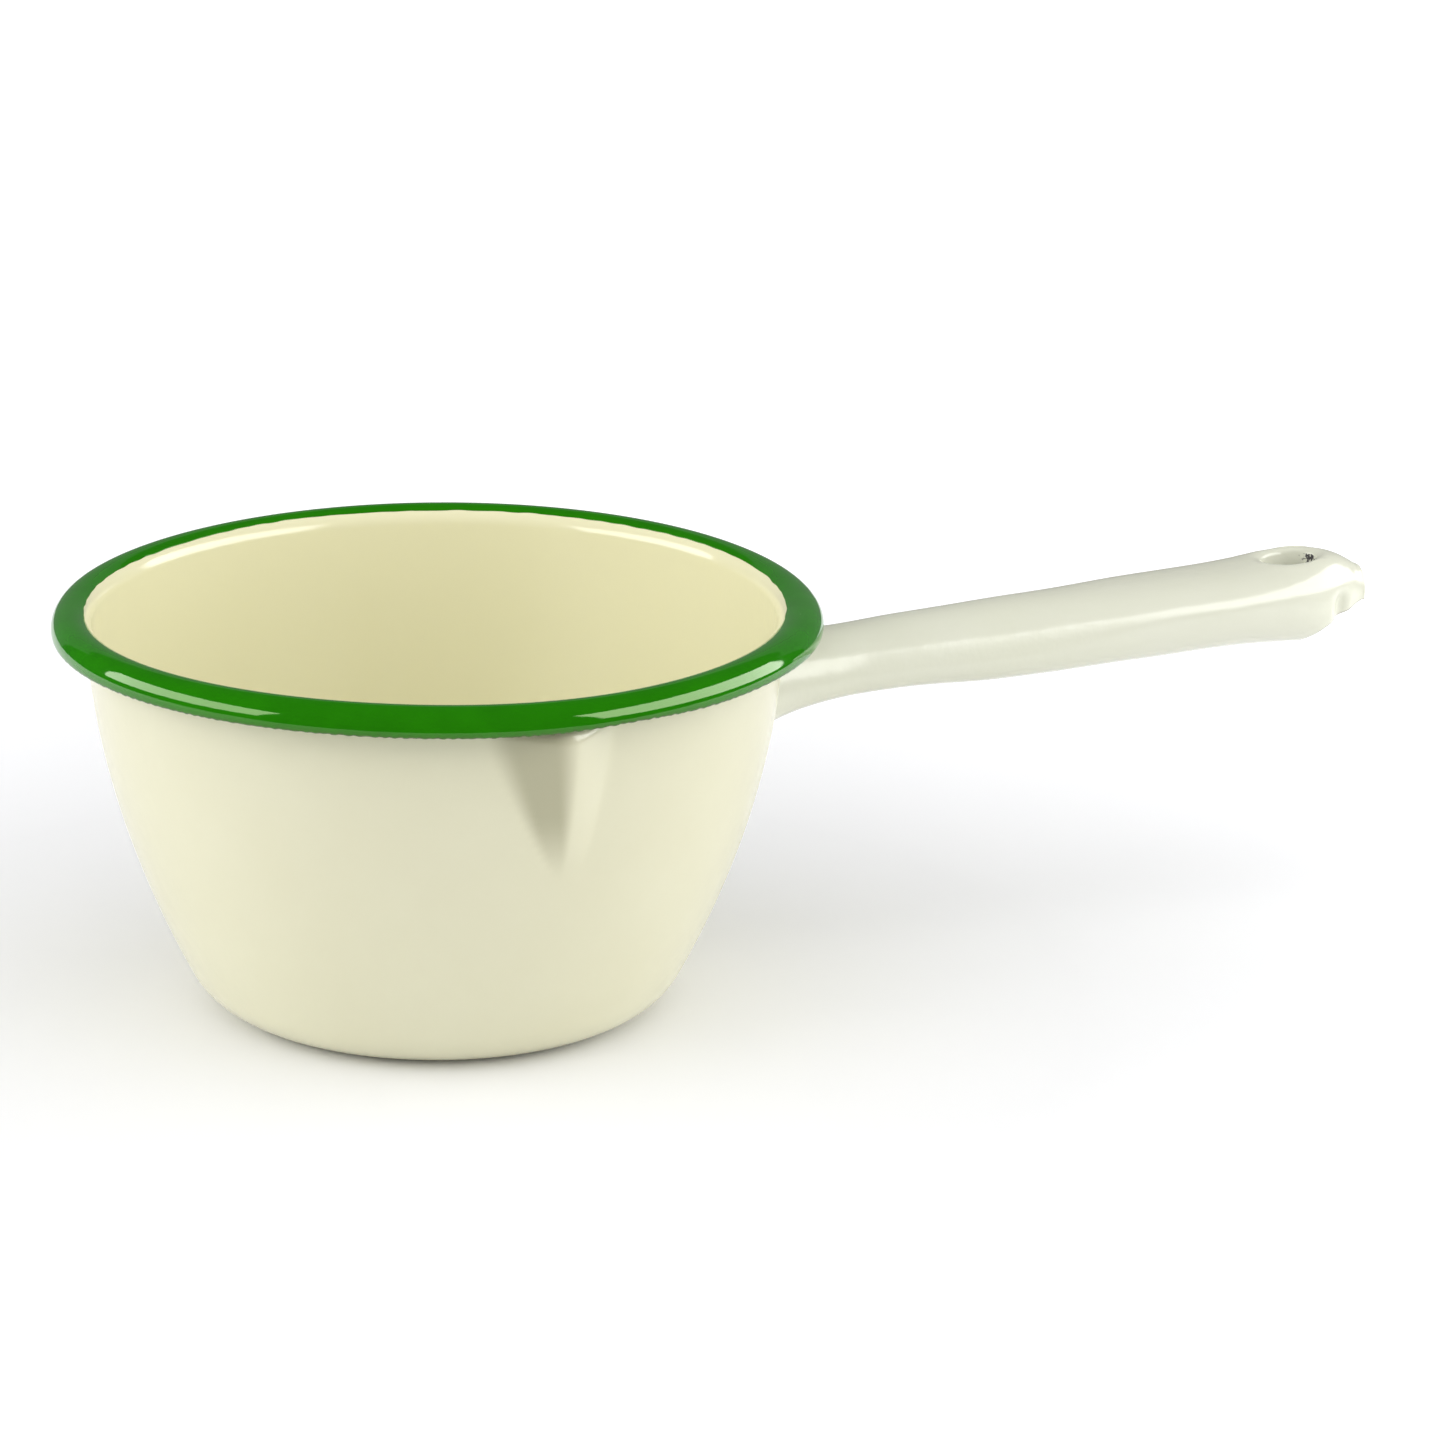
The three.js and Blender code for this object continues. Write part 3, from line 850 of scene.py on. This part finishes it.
def floor_surface():
    """Matt white with painted light: it glows more and more away from the pan."""
    m = Material("floor")
    colour = m.mix(m.noise(40.0, detail=3.0), rgb(0.925, 0.927, 0.945), rgb(0.91, 0.912, 0.93))
    far = m.node("ShaderNodeVectorMath", operation="LENGTH")
    m.link(m.place, far.inputs[0])
    # painted light: the floor's own glow, none near the pan and rising with distance
    glow = m.remap(far.outputs["Value"], 0.13, 0.4, 0.0, 0.36)
    m.link(rgb(1, 1, 1), m.shader.inputs["Emission Color"])
    m.link(glow, m.shader.inputs["Emission Strength"])
    return m.finish(colour, 0.7)


# ---- the object ----
def dress(piece, node, material):
    piece.data.materials.append(material)
    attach(piece, "root")
    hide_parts(node)


CREAM = cream_enamel()
dress(build_bowl(), "bowl", CREAM)
dress(build_rim(), "rolled_rim", green_enamel())
dress(build_handle(), "handle", handle_enamel())
dress(build_weld(), "handle_weld", CREAM)

# ---- floor, light and camera ----
CAMERA_AZIMUTH = math.radians(-113)  # where the camera stands, seen from the pan
CAMERA_RISE = math.radians(17.31)
CAMERA_ROLL = math.radians(1.05)
CAMERA_DISTANCE = 1.0688
CAMERA_LENS = 135
CAMERA_FILM = 36
CAMERA_NEAR = 0.05
AIM = Vector((0.05174, -0.02196, 0.0573))

FLOOR_RADIUS = 0.52
FLOOR_FRONT = 0.27  # how far it reaches from the pan towards the camera
FLOOR_SIDES = 256

LIGHT_AIM = Vector((0, 0, 0.05))
# Name, degrees left of the camera and up, distance, width, height, roll in degrees, radiance, and
# whether it makes highlights or lights the matt colour.
SOFTBOXES = [
    ("left_shine", 75, 19, 0.8, 0.92, 0.38, 0, 6.0, True),
    ("left_softbox", 76, 20, 0.8, 1.0, 0.5, 0, 2.3, False),
    ("right_shine", -87, 21, 0.8, 1.08, 0.47, -6, 6.6, True),
    ("back_shine", 180, 14, 1.2, 2.4, 0.9, 0, 0.16, True),
    ("right_softbox", -92, 18, 0.8, 1.25, 0.42, 0, 2.35, False),
    ("top_softbox", 0, 62, 0.9, 1.2, 1.0, 0, 0.85, False),
]
ROOM_SEEN = 1.0  # strength of the white room behind the pan
ROOM_IN_SHINE = 0.05  # in reflections
ROOM_FILL = 0.57  # and on the matt colour


def direction(azimuth, rise):
    level = math.cos(rise)
    return Vector((level * math.cos(azimuth), level * math.sin(azimuth), math.sin(rise)))


def facing(back, roll):
    """The rotation of a camera or light whose back points that way."""
    straight = back.to_track_quat("Z", "Y").to_matrix()
    return (straight @ Matrix.Rotation(roll, 3, "Z")).to_euler()


def add_camera():
    data = bpy.data.cameras.new("camera")
    data.lens = CAMERA_LENS
    data.sensor_width = CAMERA_FILM
    data.clip_start = CAMERA_NEAR
    camera = bpy.data.objects.new("camera", data)
    back = direction(CAMERA_AZIMUTH, CAMERA_RISE)
    camera.location = AIM + back * CAMERA_DISTANCE
    camera.rotation_euler = facing(back, CAMERA_ROLL)
    bpy.context.scene.collection.objects.link(camera)
    bpy.context.scene.camera = camera


def add_softbox(name, left_of_camera, rise, distance, width, height, roll, radiance, shines):
    """A soft light that faces the pan."""
    data = bpy.data.lights.new(name, "AREA")
    data.shape = "RECTANGLE"
    data.size = width
    data.size_y = height
    data.energy = radiance * math.pi * width * height
    light = bpy.data.objects.new(name, data)
    back = direction(CAMERA_AZIMUTH - math.radians(left_of_camera), math.radians(rise))
    light.location = LIGHT_AIM + back * distance
    light.rotation_euler = facing(back, math.radians(roll))
    light.visible_camera = False
    light.visible_glossy = shines
    light.visible_diffuse = not shines
    bpy.context.scene.collection.objects.link(light)


def add_floor():
    middle = direction(CAMERA_AZIMUTH, 0) * (FLOOR_FRONT - FLOOR_RADIUS)
    turn = np.linspace(0, FULL, FLOOR_SIDES + 1)[:-1]
    x = middle.x + FLOOR_RADIUS * np.cos(turn)
    y = middle.y + FLOOR_RADIUS * np.sin(turn)
    floor = add_piece("floor", np.stack([x, y, 0 * turn], -1) / MM, [tuple(range(FLOOR_SIDES))])
    floor.location.z = CAD_BOX[0][2]
    floor.data.materials.append(floor_surface())


def set_world():
    """A white room, with its own strength for the camera, for reflections and for the matt colour."""
    world = bpy.data.worlds.new("studio")
    world.use_nodes = True
    tree = world.node_tree
    rays = tree.nodes.new("ShaderNodeLightPath")
    fill = tree.nodes.new("ShaderNodeMapRange")
    tree.links.new(rays.outputs["Is Diffuse Ray"], fill.inputs["Value"])
    fill.inputs["To Min"].default_value = ROOM_IN_SHINE
    fill.inputs["To Max"].default_value = ROOM_FILL
    strength = tree.nodes.new("ShaderNodeMath")
    strength.operation = "MULTIPLY_ADD"
    tree.links.new(rays.outputs["Is Camera Ray"], strength.inputs[0])
    strength.inputs[1].default_value = ROOM_SEEN
    tree.links.new(fill.outputs[0], strength.inputs[2])
    back = tree.nodes["Background"]
    back.inputs["Color"].default_value = rgb(1, 1, 1)
    tree.links.new(strength.outputs[0], back.inputs["Strength"])
    bpy.context.scene.world = world


add_floor()
set_world()
for softbox in SOFTBOXES:
    add_softbox(*softbox)
add_camera()
bpy.context.scene.view_settings.view_transform = "Standard"
